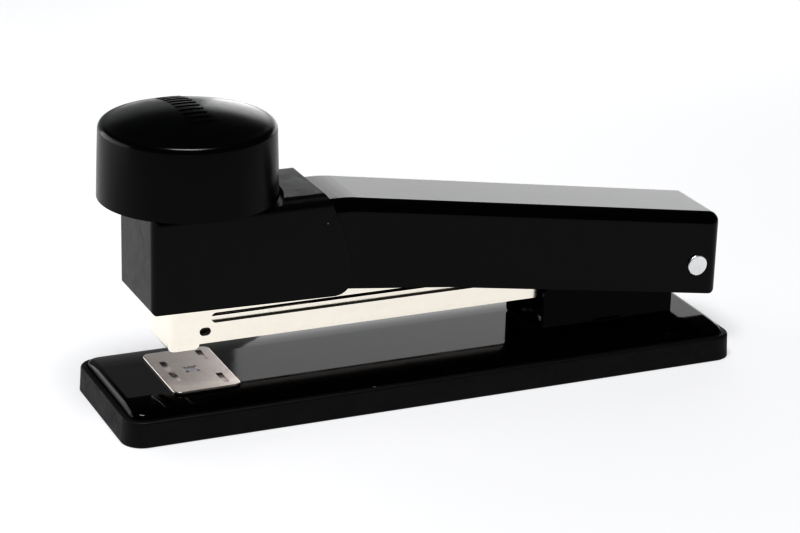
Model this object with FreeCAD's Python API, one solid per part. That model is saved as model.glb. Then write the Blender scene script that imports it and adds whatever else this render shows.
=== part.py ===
import FreeCAD, Part
import math
import os

from FreeCAD import Vector

# Desk stapler with a round palm knob, closed and at rest. Millimetres.
# +X runs from the nose to the hinge, +Z is up, and the origin is the bottom centre of the base.

# Base: a soft skirt round a pressed steel plate
base_length = 200.0
base_width = 52.0
base_corner = 6.5
skirt_height = 7.6
skirt_draft = 0.4
skirt_edge = 0.8
skirt_floor = 1.8
skirt_ledge = 2.4
plate_top = 10.1
plate_sheet = 1.2
plate_flat = 24.0
plate_shoulder_drop = 1.2
plate_edge = 2.2

# Turning anvil, lifted by a button under the base
anvil_setback = 28.2
anvil_length = 21.0
anvil_width = 31.2
anvil_sheet = 0.85
anvil_corner = 2.5
anvil_edge = 0.3
groove_offset = 6.5
groove_width = 1.9
groove_depth = 0.45
groove_arc = 14.0
clinch_inset = 2.15
tack_outset = 2.85
post_radius = 2.5
stud_radius = 1.7
star_radius = 2.4
star_mark = 0.45
star_depth = 0.25
button_radius = 7.5
button_sheet = 3.0
button_recess = 0.4
button_edge = 1.0
button_floor = 0.8
button_hollow_radius = 22.9
button_hollow_depth = 0.5
washer_sheet = 0.6
washer_radius = 5.2
anvil_coil_radius = 4.6
anvil_coil_wire = 0.8

# Hinge bracket, its rivets and the spring that lifts the magazine
bracket_width = 25.4
bracket_sheet = 1.4
bracket_length = 45.0
bracket_setback = 16.7
bracket_shoulder = 9.4
bracket_bend = 1.6
ear_front_height = 16.4
ear_wall = 2.4
ear_corner = 3.0
lug_offset = 22.5
lug_height = 3.2
lug_length = 8.8
lug_radius = 1.1
lug_proud = 0.65
rivet_radius = 1.5
rivet_head = 2.8
rivet_head_flat = 1.7
rivet_head_height = 0.9
bracket_rivet_inset = 5.7
bracket_rivet_y = 7.5
lift_spring_offset = 33.3
lift_coil_radius = 5.0
lift_coil_wire = 1.0
seat_radius = 6.5
seat_sheet = 0.8
seat_stud_height = 3.4

# Hinge pin
pin_setback = 9.1
pin_rise = 18.1
pin_radius = 2.5
pin_head_overhang = 0.9
pin_head_height = 0.8
pin_head_edge = 0.4
spacer_wall = 1.5

# Magazine
magazine_drop = 5.7
magazine_height = 12.0
magazine_sheet = 0.9
magazine_inner_gap = 0.25
magazine_tail = 5.7
tail_corner = 5.0
slot_front = 3.7
slot_rear = 61.7
slot_bottom = 6.1
slot_width = 3.1
oval_offset = 1.8
oval_height = 3.7
oval_length = 3.4
oval_width = 2.5
nose_length = 9.0
nose_wall = 1.7
nose_side = 0.95
nose_drop = 1.5
nose_height = 15.0
nose_corner = 2.0
nose_edge = 0.6
chute_front = 1.5
chute_back = 0.35
channel_sheet = 0.8
channel_height = 6.9
channel_tail = 11.0
rail_sheet = 0.9
rail_height = 5.6
rail_end_wall = 1.2
rod_radius = 0.9
rod_height = 3.3
rod_end = 1.0
pusher_coil_radius = 2.1
pusher_coil_wire = 0.5
magazine_rivet_radius = 0.8
magazine_rivet_head = 1.3
magazine_rivet_head_height = 0.35
magazine_rivet_y = 3.5

# Staples and pusher
staple_crown = 12.9
staple_leg = 6.0
staple_wire = 0.5
strip_length = 26.5
staple_lift = 0.3
leg_gap = 0.85
rail_gap = 0.15
pusher_length = 14.0
pusher_wall = 0.6
pusher_roof = 1.1
pusher_tongue_length = 8.0
pusher_tab = 3.1
pusher_tab_sheet = 1.2

# Bridge over the magazine's tail, and the spring that lifts the arm
bridge_front = 32.9
bridge_length = 20.0
bridge_sheet = 0.9
cover_spring_offset = 22.9
cover_coil_radius = 4.5
cover_coil_wire = 0.9
bridge_stud_height = 3.0

# Arm
arm_sheet = 1.2
ear_gap = 0.3
arm_rise = 34.9
arm_level_end = 73.0
arm_rear_gap = 2.3
arm_rear_rise = 15.6
arm_rear_drop = 10.8
arm_bend_setback = 85.9
arm_bend_rise = 3.8
arm_front_rise = 8.6
arm_edge = 3.8
arm_kink = 40.0
arm_corner = 3.0
tongue_width = 24.0

# Head
head_overhang = 7.1
head_rear_setback = 73.2
head_lap_wall = 1.35
head_wall = 1.8
head_roof = 1.25
head_drop = 27.6
head_rear_drop = 28.7
head_rise = 2.7
head_front_corner = 2.4
head_low_corner = 1.2
head_edge = 3.6
head_rear_round = 0.6
head_lap = 9.2
head_foot = 5.6
# Points on the head's rear edge: how far in front of its rear, and how far below its ridge
head_rear_curve = ((8.4, 0), (6.6, 3.0), (4.2, 8.8), (1.8, 17.2), (0, 25.2))

# Knob
knob_setback = 27.3
knob_radius = 26.4
knob_flare = 0.6
knob_wall = 2.2
knob_gap = 1.65
knob_height = 26.25
knob_side = 21.95
knob_edge = 2.0
knob_recess_gap = 1.3
knob_disc_lift = 0.3
knob_disc_sheet = 2.5
knob_boss_radius = 6.5
knob_boss_height = 10.0
screw_radius = 2.0
screw_head_radius = 3.8
screw_head_height = 2.5
screw_head_edge = 0.8
screw_slot = 0.8
screw_slot_depth = 1.1
screw_end = 0.5

# Driver
blade_sheet = 0.5
blade_lift = 0.4
blade_gap = 0.05
blade_top_gap = 3.4
holder_width = 12.0
holder_sheet = 1.5
holder_length = 16.0
holder_drop = 18.0
holder_bend = 1.2
driver_rivet_y = 3.2
driver_rivet_drop = 13.0
driver_rivet_head = 2.4
driver_rivet_flat = 1.4
driver_rivet_head_height = 0.6

# Clearances
press_gap = 0.03
running_gap = 0.06
part_gap = 0.1
side_gap = 0.15
free_gap = 0.3
button_gap = 0.5

# How far a cutting shape runs past what it cuts
over = 1.0

# Places worked out from the sizes above
half_length = base_length / 2
plate_under = plate_top - plate_sheet
plate_half = half_length - skirt_ledge
plate_half_width = base_width / 2 - skirt_ledge
plate_corner = base_corner - skirt_ledge
anvil_x = -half_length + anvil_setback
anvil_top = plate_top + anvil_sheet
clinch_y = staple_crown / 2 - clinch_inset
tack_y = staple_crown / 2 + tack_outset
button_top = button_recess + button_sheet
washer_top = button_top + washer_sheet
ear_rear = half_length - bracket_setback
ear_front = ear_rear - bracket_length
ear_inside = bracket_width / 2 - bracket_sheet
web_top = plate_top + bracket_sheet
pin_x = half_length - pin_setback
pin_height = plate_top + pin_rise
pin_head_radius = pin_radius + pin_head_overhang
spacer_radius = pin_radius + spacer_wall
ear_radius = pin_radius + ear_wall
lift_spring_x = ear_rear - lift_spring_offset
chute_x = anvil_x - groove_offset
nose_front = chute_x - chute_front - nose_wall
rail_width = staple_crown - 2 * (staple_wire + rail_gap)
blade_width = staple_crown - 2 * part_gap
pusher_width = staple_crown + 2 * part_gap
channel_width = staple_crown + 2 * (leg_gap + channel_sheet)
magazine_width = channel_width + 2 * (magazine_inner_gap + magazine_sheet)
magazine_bottom = pin_height - magazine_drop
nose_bottom = magazine_bottom - nose_drop
magazine_front = nose_front + nose_length
magazine_floor = magazine_bottom + magazine_sheet
magazine_top = magazine_bottom + magazine_height
channel_floor = magazine_floor + channel_sheet
channel_front = chute_x + chute_back
channel_rear = pin_x - channel_tail
channel_inside = channel_width / 2 - channel_sheet
rail_front = channel_front + free_gap
rail_top = channel_floor + rail_height
rail_inside = rail_width / 2 - rail_sheet
rod_z = channel_floor + rod_height
strip_front = channel_front
strip_rear = strip_front + strip_length
legs_bottom = channel_floor + staple_lift
crown_top = legs_bottom + staple_leg
pusher_front = strip_rear + part_gap
tongue_rear = pusher_front + pusher_tongue_length
bridge_x = pin_x - bridge_front
bridge_top = magazine_top + bridge_sheet
cover_spring_x = pin_x - cover_spring_offset
arm_width = bracket_width + 2 * (ear_gap + arm_sheet)
arm_inside = arm_width / 2 - arm_sheet
arm_top = pin_height + arm_rise
arm_rear_top = pin_height + arm_rear_rise
arm_rear_bottom = pin_height - arm_rear_drop
arm_bend_z = pin_height + arm_bend_rise
arm_front_bottom = pin_height + arm_front_rise
arm_rear = pin_x + ear_radius + arm_rear_gap + arm_sheet
arm_level_x = -half_length + arm_level_end
arm_bend_x = pin_x - arm_bend_setback
arm_slope = (arm_top - arm_rear_top) / (arm_rear - arm_level_x)
web_drop = arm_sheet * math.hypot(1, arm_slope)
head_front = nose_front - head_overhang
head_rear = -half_length + head_rear_setback
arm_front = head_rear - head_lap
head_width = arm_width + part_gap + 2 * head_lap_wall
head_bottom = arm_top - head_drop
head_rear_bottom = arm_top - head_rear_drop
head_ridge = arm_top + head_rise
tongue_front = head_front + head_wall + free_gap
tongue_under = arm_top - arm_sheet
roof_under = arm_top + part_gap / 2
roof_top = roof_under + head_roof
knob_bottom = roof_top + knob_gap
knob_top = knob_bottom + knob_height
knob_recess = knob_radius + knob_recess_gap
knob_x = -half_length + knob_setback
blade_front = chute_x - blade_sheet - blade_gap
blade_back = blade_front + blade_sheet
blade_tip = crown_top + blade_lift
holder_under = tongue_under - holder_sheet


def box(x0, x1, y0, y1, z0, z1):
    return Part.makeBox(x1 - x0, y1 - y0, z1 - z0, Vector(x0, y0, z0))


def block(x0, x1, half_width, z0, z1):
    return box(x0, x1, -half_width, half_width, z0, z1)


def post(x, y, z0, z1, radius):
    return Part.makeCylinder(radius, z1 - z0, Vector(x, y, z0), Vector(0, 0, 1))


def bar_along_x(x0, x1, y, z, radius):
    return Part.makeCylinder(radius, x1 - x0, Vector(x0, y, z), Vector(1, 0, 0))


def bar_along_y(x, y0, y1, z, radius):
    return Part.makeCylinder(radius, y1 - y0, Vector(x, y0, z), Vector(0, 1, 0))


def tube(x, z0, z1, outside, inside):
    return post(x, 0, z0, z1, outside).cut(post(x, 0, z0, z1, inside))


def outline(points):
    """A wire through (point, corner radius) pairs, with a tangent arc at each rounded corner."""
    edges = []
    ends = []
    count = len(points)
    for i, (corner, radius) in enumerate(points):
        if radius == 0:
            ends.append((corner, corner))
            continue
        before = (points[i - 1][0] - corner).normalize()
        after = (points[(i + 1) % count][0] - corner).normalize()
        half_angle = before.getAngle(after) / 2
        reach = radius / math.tan(half_angle)
        start = corner + before * reach
        end = corner + after * reach
        inward = (before + after).normalize()
        middle = corner + inward * (radius / math.sin(half_angle) - radius)
        edges.append(Part.Arc(start, middle, end).toShape())
        ends.append((start, end))
    for i in range(count):
        start = ends[i][1]
        end = ends[(i + 1) % count][0]
        if start.distanceToPoint(end) > 1e-6:
            edges.append(Part.LineSegment(start, end).toShape())
    return Part.Wire(Part.__sortEdges__(edges))


def side_prism(points, half_width):
    """An outline in the XZ plane, (x, z, corner radius), made as wide as 2 * half_width."""
    wire = outline([(Vector(x, -half_width, z), radius) for x, z, radius in points])
    return Part.Face(wire).extrude(Vector(0, 2 * half_width, 0))


def rounded_rectangle(half_x, half_y, corner, z):
    corners = ((-half_x, -half_y), (half_x, -half_y), (half_x, half_y), (-half_x, half_y))
    return outline([(Vector(x, y, z), corner) for x, y in corners])


def rounded_prism(half_x, half_y, corner, z0, z1):
    face = Part.Face(rounded_rectangle(half_x, half_y, corner, z0))
    return face.extrude(Vector(0, 0, z1 - z0))


def round_fronted(front, rear, half_width, corner):
    """A tall block whose two front upright edges are rounded."""
    corners = [
        (Vector(front, -half_width, 0), corner),
        (Vector(front, half_width, 0), corner),
        (Vector(rear, half_width, 0), 0),
        (Vector(rear, -half_width, 0), 0),
    ]
    return Part.Face(outline(corners)).extrude(Vector(0, 0, head_ridge + over))


def edges_where(shape, test):
    """The edges whose middle point and ends pass a test."""
    found = []
    for edge in shape.Edges:
        middle = edge.valueAt((edge.FirstParameter + edge.LastParameter) / 2)
        if test(middle, edge):
            found.append(edge)
    return found


def flat_coil(x, z0, z1, radius, wire):
    """The space that a coil spring standing on its end takes up."""
    return tube(x, z0, z1, radius, radius - wire)


def base_skirt():
    bottom = rounded_rectangle(half_length, base_width / 2, base_corner, 0)
    half_x = half_length - skirt_draft
    half_y = base_width / 2 - skirt_draft
    top = rounded_rectangle(half_x, half_y, base_corner - skirt_draft, skirt_height)
    skirt = Part.makeLoft([bottom, top], True, True)
    rim = edges_where(skirt, lambda p, e: e.BoundBox.ZMin > skirt_height - 0.01)
    skirt = skirt.makeFillet(skirt_edge, rim)
    pocket_half = plate_half + part_gap
    pocket_half_width = plate_half_width + part_gap
    pocket_corner = plate_corner + part_gap
    pocket = rounded_prism(pocket_half, pocket_half_width, pocket_corner, skirt_floor, skirt_height + over)
    hole = post(anvil_x, 0, -over, skirt_floor + over, button_radius + button_gap)
    return skirt.cut(pocket).cut(hole)


def plate_form(inset, edge):
    """The pressed plate's outside, or its inside when it is inset by the sheet."""
    half_x = plate_half - inset
    half_y = plate_half_width - inset
    top = plate_top - inset
    flat = plate_flat / 2
    shoulder = top - plate_shoulder_drop
    run = half_y - flat
    arc_radius = (run**2 + plate_shoulder_drop**2) / (2 * plate_shoulder_drop)
    mid_drop = arc_radius - math.sqrt(arc_radius**2 - (run / 2) ** 2)

    def at(y, z):
        return Vector(-half_x, y, z)

    edges = [
        Part.LineSegment(at(-half_y, skirt_floor), at(half_y, skirt_floor)).toShape(),
        Part.LineSegment(at(half_y, skirt_floor), at(half_y, shoulder)).toShape(),
        Part.Arc(at(half_y, shoulder), at(flat + run / 2, top - mid_drop), at(flat, top)).toShape(),
        Part.LineSegment(at(flat, top), at(-flat, top)).toShape(),
        Part.Arc(at(-flat, top), at(-flat - run / 2, top - mid_drop), at(-half_y, shoulder)).toShape(),
        Part.LineSegment(at(-half_y, shoulder), at(-half_y, skirt_floor)).toShape(),
    ]
    dome = Part.Face(Part.Wire(edges)).extrude(Vector(2 * half_x, 0, 0))
    corner = plate_corner - inset
    form = dome.common(rounded_prism(half_x, half_y, corner, skirt_floor, top + over))

    def on_rim(p, e):
        beside = abs(p.y) > half_y - corner or abs(p.x) > half_x - corner
        return e.BoundBox.ZMin > shoulder - 0.01 and beside

    return form.makeFillet(edge, edges_where(form, on_rim))


def base_plate():
    shell = plate_form(0, plate_edge).cut(plate_form(plate_sheet, plate_edge - plate_sheet))
    for x, y in bracket_rivet_places():
        shell = shell.cut(post(x, y, 0, plate_top + over, rivet_radius))
    shell = shell.cut(post(lift_spring_x, 0, 0, plate_top + over, rivet_radius))
    return shell.cut(post(anvil_x, 0, 0, plate_top + over, post_radius + running_gap))


def bracket_rivet_places():
    xs = (ear_front + bracket_rivet_inset, ear_rear - bracket_rivet_inset)
    return [(x, y) for x in xs for y in (-bracket_rivet_y, bracket_rivet_y)]


def tangent_point(x, z, turn):
    """Where a line from (x, z) touches the ear's rounded end; turn is 1 or -1 for its two sides."""
    away = math.atan2(z - pin_height, x - pin_x)
    spread = math.acos(ear_radius / math.hypot(x - pin_x, z - pin_height))
    angle = away + turn * spread
    return pin_x + ear_radius * math.cos(angle), pin_height + ear_radius * math.sin(angle)


def ear_outline(half_width):
    """Both ears as one block: a foot on the plate, a shoulder, and a round end about the pin."""
    shoulder = plate_top + bracket_shoulder
    front_top = plate_top + ear_front_height
    low = tangent_point(ear_rear, shoulder, 1)
    high = tangent_point(ear_front, front_top, -1)
    points = [
        (ear_front, plate_top, 0),
        (ear_rear, plate_top, 0),
        (ear_rear, shoulder, 0),
        (low[0], low[1], 0),
        (pin_x, pin_height, 0),
        (high[0], high[1], 0),
        (ear_front, front_top, ear_corner),
    ]
    round_end = bar_along_y(pin_x, -half_width, half_width, pin_height, ear_radius)
    return side_prism(points, half_width).fuse(round_end)


def hinge_bracket():
    bracket = ear_outline(bracket_width / 2)
    foot = edges_where(bracket, lambda p, e: abs(p.z - plate_top) < 0.01 and abs(p.y) > ear_inside)
    bracket = bracket.makeFillet(bracket_bend, foot)
    lug_z = plate_top + lug_height
    lug_x = ear_front + lug_offset - lug_length / 2
    for side in (-1, 1):
        lug_y = side * (bracket_width / 2 + lug_proud - lug_radius)
        bracket = bracket.fuse(bar_along_x(lug_x, lug_x + lug_length, lug_y, lug_z, lug_radius))
    bracket = bracket.cut(block(ear_front - over, arm_rear, ear_inside, web_top, arm_rear_top))
    bore = pin_radius + running_gap
    bracket = bracket.cut(bar_along_y(pin_x, -bracket_width, bracket_width, pin_height, bore))
    for x, y in bracket_rivet_places():
        bracket = bracket.cut(post(x, y, 0, web_top + over, rivet_radius))
    return bracket.cut(post(lift_spring_x, 0, 0, web_top + over, rivet_radius)).removeSplitter()


def rivet(x, y, z0, z1):
    """A rivet standing in Z through z0 to z1, with a low round head on each side."""
    shape = post(x, y, z0, z1, rivet_radius)
    for base, way in ((z1, 1), (z0, -1)):
        at = Vector(x, y, base)
        out = Vector(0, 0, way)
        shape = shape.fuse(Part.makeCone(rivet_head, rivet_head_flat, rivet_head_height, at, out))
    return shape


def bracket_rivets():
    return [rivet(x, y, plate_under, web_top) for x, y in bracket_rivet_places()]


def spring_seat():
    """A flanged cup riveted through the bracket and plate: it centres the lifting spring."""
    top = web_top + seat_sheet
    seat = post(lift_spring_x, 0, web_top, top, seat_radius)
    stud = lift_coil_radius - lift_coil_wire - side_gap
    seat = seat.fuse(post(lift_spring_x, 0, top, top + seat_stud_height, stud))
    shank = post(lift_spring_x, 0, plate_under, web_top, rivet_radius)
    head_at = Vector(lift_spring_x, 0, plate_under)
    head = Part.makeCone(rivet_head, rivet_head_flat, rivet_head_height, head_at, Vector(0, 0, -1))
    return seat.fuse(shank).fuse(head).removeSplitter()


def magazine_spring():
    bottom = web_top + seat_sheet
    return flat_coil(lift_spring_x, bottom, magazine_bottom - part_gap, lift_coil_radius, lift_coil_wire)


def hinge_spacers():
    near = ear_inside
    far = magazine_width / 2 + part_gap
    spacers = []
    for y0, y1 in ((-near, -far), (far, near)):
        bush = bar_along_y(pin_x, y0, y1, pin_height, spacer_radius)
        spacers.append(bush.cut(bar_along_y(pin_x, y0, y1, pin_height, pin_radius + running_gap)))
    return spacers


def anvil_plate():
    half_x = anvil_length / 2
    plate = rounded_prism(half_x, anvil_width / 2, anvil_corner, plate_top, anvil_top)
    top = edges_where(plate, lambda p, e: e.BoundBox.ZMin > anvil_top - 0.01)
    plate = plate.makeFillet(anvil_edge, top)
    lift = anvil_top + groove_arc - groove_depth
    half_groove = groove_width / 2
    for x, y in ((-groove_offset, clinch_y), (groove_offset, tack_y)):
        for side in (-1, 1):
            plate = plate.cut(bar_along_x(x - half_groove, x + half_groove, side * y, lift, groove_arc))
    for i in range(4):
        angle = math.radians(45 + 90 * i)
        x = star_radius * math.cos(angle)
        y = star_radius * math.sin(angle)
        plate = plate.cut(post(x, y, anvil_top - star_depth, anvil_top + over, star_mark))
    plate = plate.cut(post(0, 0, 0, anvil_top + over, stud_radius + press_gap))
    plate.translate(Vector(anvil_x, 0, 0))
    return plate


def anvil_post():
    shoulder = post(anvil_x, 0, button_top, plate_top, post_radius)
    top_stud = post(anvil_x, 0, plate_top, anvil_top - part_gap, stud_radius)
    low_stud = post(anvil_x, 0, button_recess + button_floor, button_top, stud_radius)
    return shoulder.fuse(top_stud).fuse(low_stud)


def anvil_button():
    button = post(anvil_x, 0, button_recess, button_top, button_radius)
    rim = edges_where(button, lambda p, e: e.BoundBox.ZMax < button_recess + 0.01)
    button = button.makeFillet(button_edge, rim)
    hollow_z = button_recess + button_hollow_depth - button_hollow_radius
    hollow = Part.makeSphere(button_hollow_radius, Vector(anvil_x, 0, hollow_z))
    hole = post(anvil_x, 0, button_recess + button_floor, button_top + over, stud_radius + press_gap)
    return button.cut(hollow).cut(hole)


def anvil_washer():
    return tube(anvil_x, button_top, washer_top, washer_radius, post_radius + running_gap)


def anvil_spring():
    return flat_coil(anvil_x, washer_top, plate_under, anvil_coil_radius, anvil_coil_wire)


def magazine_walls(rear, half_width, z0, z1):
    """A block the length of the magazine, with its tail rounded about the hinge."""
    points = [
        (magazine_front, z0, 0),
        (rear, z0, tail_corner),
        (rear, z1, tail_corner),
        (magazine_front, z1, 0),
    ]
    return side_prism(points, half_width)


def oval_hole():
    """A sight hole through both side walls, just behind the nose."""
    x = magazine_front + oval_offset
    z = magazine_bottom + oval_height
    reach = (oval_length - oval_width) / 2
    radius = oval_width / 2
    half = magazine_width / 2 + over
    oval = block(x - reach, x + reach, half, z - radius, z + radius)
    for end in (x - reach, x + reach):
        oval = oval.fuse(bar_along_y(end, -half, half, z, radius))
    return oval


def magazine_channel():
    half = magazine_width / 2
    inside = half - magazine_sheet
    rear = pin_x + magazine_tail
    channel = magazine_walls(rear, half, magazine_bottom, magazine_top)
    end = rear + over
    start = magazine_front - over
    channel = channel.cut(block(start, end, inside, magazine_floor, magazine_top + over))
    open_from = pin_x - magazine_tail - over
    channel = channel.cut(block(open_from, end, inside, magazine_bottom - over, magazine_floor + over))
    slot_x = magazine_front + slot_front
    slot_end = pin_x - slot_rear
    slot_z = magazine_bottom + slot_bottom
    half_slot = slot_width / 2
    slot = side_prism([
        (slot_x, slot_z, half_slot),
        (slot_end, slot_z, half_slot),
        (slot_end, slot_z + slot_width, half_slot),
        (slot_x, slot_z + slot_width, half_slot),
    ], half + over)
    channel = channel.cut(slot).cut(oval_hole())
    bore = pin_radius + running_gap
    channel = channel.cut(bar_along_y(pin_x, -half - over, half + over, pin_height, bore))
    for x, y in magazine_rivet_places():
        channel = channel.cut(post(x, y, 0, magazine_floor + over, magazine_rivet_radius))
    return channel


def magazine_nose():
    half = magazine_width / 2
    top = nose_bottom + nose_height
    nose = side_prism([
        (nose_front, nose_bottom, nose_edge),
        (magazine_front, nose_bottom, nose_drop),
        (magazine_front, top, 0),
        (nose_front, top, nose_edge),
    ], half)
    nose = nose.common(round_fronted(nose_front, magazine_front, half, nose_corner))
    inside = half - nose_side
    back = nose_front + nose_wall
    nose = nose.cut(block(back, magazine_front + over, inside, magazine_floor, top + over))
    return nose.cut(block(back, channel_front, channel_inside, nose_bottom - over, top))


def magazine_rivet_places():
    spacing = (channel_rear - channel_front) / 4
    xs = [channel_front + spacing * i for i in (1, 2, 3)]
    return [(x, y) for x in xs for y in (-magazine_rivet_y, magazine_rivet_y)]


def staple_channel():
    half = channel_width / 2
    channel = block(channel_front, channel_rear, half, magazine_floor, magazine_floor + channel_height)
    top = magazine_floor + channel_height + over
    start = channel_front - over
    channel = channel.cut(block(start, channel_rear + over, channel_inside, channel_floor, top))
    for x, y in magazine_rivet_places():
        channel = channel.cut(post(x, y, 0, channel_floor + over, magazine_rivet_radius))
    return channel.cut(oval_hole())


def staple_rail():
    half = rail_width / 2
    rail = block(rail_front, channel_rear, half, channel_floor, rail_top)
    hollow_front = rail_front + rail_end_wall
    hollow_rear = channel_rear - rail_end_wall
    floor = channel_floor + rail_sheet
    rail = rail.cut(block(hollow_front, hollow_rear, rail_inside, floor, rail_top + over))
    rail = rail.cut(bar_along_x(rail_front - over, channel_rear + over, 0, rod_z, rod_radius + press_gap))
    for x, y in magazine_rivet_places():
        rail = rail.cut(post(x, y, 0, floor + over, magazine_rivet_radius))
    return rail


def magazine_rivets():
    z1 = channel_floor + rail_sheet
    rivets = []
    for x, y in magazine_rivet_places():
        shank = post(x, y, magazine_bottom + 0.1, z1, magazine_rivet_radius)
        head = post(x, y, z1, z1 + magazine_rivet_head_height, magazine_rivet_head)
        rivets.append(shank.fuse(head))
    return rivets


def guide_rod():
    return bar_along_x(rail_front, channel_rear + rod_end, 0, rod_z, rod_radius)


def pusher_spring():
    x0 = tongue_rear
    x1 = channel_rear - rail_end_wall
    coil = bar_along_x(x0, x1, 0, rod_z, pusher_coil_radius)
    return coil.cut(bar_along_x(x0, x1, 0, rod_z, pusher_coil_radius - pusher_coil_wire))


def staple_strip():
    half = staple_crown / 2
    strip = block(strip_front, strip_rear, half, legs_bottom, crown_top)
    inside = half - staple_wire
    under = crown_top - staple_wire
    return strip.cut(block(strip_front - over, strip_rear + over, inside, legs_bottom - over, under))


def pusher():
    half = pusher_width / 2
    under = rail_top + staple_lift - part_gap
    top = under + pusher_roof
    rear = pusher_front + pusher_length
    saddle = block(pusher_front, rear, half, legs_bottom, top)
    inside = half - pusher_wall
    saddle = saddle.cut(block(pusher_front - over, rear + over, inside, legs_bottom - over, under))
    tongue_bottom = channel_floor + rail_sheet + magazine_rivet_head_height + free_gap
    tongue = block(pusher_front, tongue_rear, rail_inside - free_gap, tongue_bottom, under)
    tab = block(rear - pusher_tab_sheet, rear, rail_inside, top, top + pusher_tab)
    body = saddle.fuse(tongue).fuse(tab)
    body = body.cut(bar_along_x(pusher_front - over, tongue_rear + over, 0, rod_z, rod_radius + running_gap))
    return body.removeSplitter()


def magazine_bridge():
    bridge = block(bridge_x, bridge_x + bridge_length, magazine_width / 2, magazine_top, bridge_top)
    stud_radius_inside = cover_coil_radius - cover_coil_wire - side_gap
    stud = post(cover_spring_x, 0, bridge_top, bridge_top + bridge_stud_height, stud_radius_inside)
    return bridge.fuse(stud).removeSplitter()


def arm_top_at(x):
    return arm_top - arm_slope * max(0, x - arm_level_x)


def cover_spring():
    lowest = arm_top_at(cover_spring_x + cover_coil_radius) - web_drop
    return flat_coil(cover_spring_x, bridge_top, lowest - free_gap, cover_coil_radius, cover_coil_wire)


def arm_cover():
    half = arm_width / 2
    shell = side_prism([
        (arm_front, 0, 0),
        (arm_rear, 0, 0),
        (arm_rear, arm_rear_top, arm_corner),
        (arm_level_x, arm_top, arm_kink),
        (arm_front, arm_top, 0),
    ], half)

    def along_top(p, e):
        return abs(abs(p.y) - half) < 0.01 and p.z > arm_top_at(p.x) - 1.5 and p.x > arm_front + 0.1

    shell = shell.makeFillet(arm_edge, edges_where(shell, along_top))
    lower_edge = side_prism([
        (arm_front, arm_front_bottom, 0),
        (arm_bend_x, arm_bend_z, 0),
        (arm_rear, arm_rear_bottom, arm_corner),
        (arm_rear, arm_top + over, 0),
        (arm_front, arm_top + over, 0),
    ], half)
    return shell.common(lower_edge).cut(arm_inner()).fuse(arm_tongue()).cut(arm_holes()).removeSplitter()


def arm_inner():
    """The space under the arm's web and in front of its rear wall, open below and in front."""
    rear = arm_rear - arm_sheet
    inner = side_prism([
        (arm_front - over, 0, 0),
        (rear, 0, 0),
        (rear, arm_top_at(rear) - web_drop, arm_corner - arm_sheet),
        (arm_level_x, arm_top - web_drop, arm_kink - arm_sheet),
        (arm_front - over, arm_top - web_drop, 0),
    ], arm_inside)

    def along_top(p, e):
        return abs(abs(p.y) - arm_inside) < 0.01 and p.z > arm_top_at(p.x) - 2.5 and p.x > arm_front - 0.9

    return inner.makeFillet(arm_edge - arm_sheet, edges_where(inner, along_top))


def arm_tongue():
    """The web runs on over the nose as a narrower tongue, which carries the head and the driver."""
    return block(tongue_front, arm_front + 2, tongue_width / 2, tongue_under, arm_top)


def arm_holes():
    screw = post(knob_x, 0, tongue_under - over, arm_top + over, screw_radius + part_gap)
    return screw.fuse(bar_along_y(pin_x, -arm_width, arm_width, pin_height, pin_radius + press_gap))


def head_rear_edge():
    """The head's rear edge: a shallow double curve from the ridge down to a round corner."""
    points = [Vector(head_rear - back, 0, head_ridge - down) for back, down in head_rear_curve]
    curve = Part.BSplineCurve()
    curve.interpolate(points)
    low = points[-1]
    foot = Vector(head_rear - head_foot, 0, head_rear_bottom)
    corner = Part.Arc(low, Vector(head_rear - head_foot / 4, 0, head_rear_bottom + head_foot * 0.36), foot)
    return curve.toShape(), corner.toShape(), points[0], foot


def head_front_form(half):
    """The head seen from its front: upright sides and a rounded ridge."""
    corners = [
        (Vector(head_front, -half, 0), 0),
        (Vector(head_front, half, 0), 0),
        (Vector(head_front, half, head_ridge), head_edge),
        (Vector(head_front, -half, head_ridge), head_edge),
    ]
    return Part.Face(outline(corners)).extrude(Vector(head_rear + over - head_front, 0, 0))


def head_cap():
    half = head_width / 2
    curve, corner, ridge, foot = head_rear_edge()
    bend = head_low_corner * (1 - math.sqrt(0.5))
    low = Vector(head_front + head_low_corner, 0, head_bottom)
    low_middle = Vector(head_front + bend, 0, head_bottom + bend)
    front = Vector(head_front, 0, head_bottom + head_low_corner)
    front_high = Vector(head_front, 0, head_ridge)
    sides = [
        Part.LineSegment(foot, low).toShape(),
        Part.Arc(low, low_middle, front).toShape(),
        Part.LineSegment(front, front_high).toShape(),
        Part.LineSegment(front_high, ridge).toShape(),
    ]
    face = Part.Face(Part.Wire(Part.__sortEdges__([curve, corner] + sides)))
    face.translate(Vector(0, -half, 0))
    head = face.extrude(Vector(0, 2 * half, 0))
    rear_edges = edges_where(head, lambda p, e: p.x > head_rear - head_foot and abs(abs(p.y) - half) < 0.01)
    head = head.makeFillet(head_rear_round, [edge for edge in rear_edges if edge.Length > head_foot])
    plan = round_fronted(head_front, head_rear + over, half, head_front_corner)
    head = head.common(head_front_form(half)).common(plan)
    head = head.cut(post(knob_x, 0, roof_top, head_ridge + over, knob_recess))
    inner_front = head_front + head_wall
    head = head.cut(block(inner_front, head_rear + over, half - head_wall, 0, roof_under))
    lap_half = arm_width / 2 + part_gap / 2
    head = head.cut(block(arm_front - free_gap, head_rear + over, lap_half, 0, roof_under))
    return head.cut(post(knob_x, 0, roof_under - over, head_ridge, screw_radius + part_gap))


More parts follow.
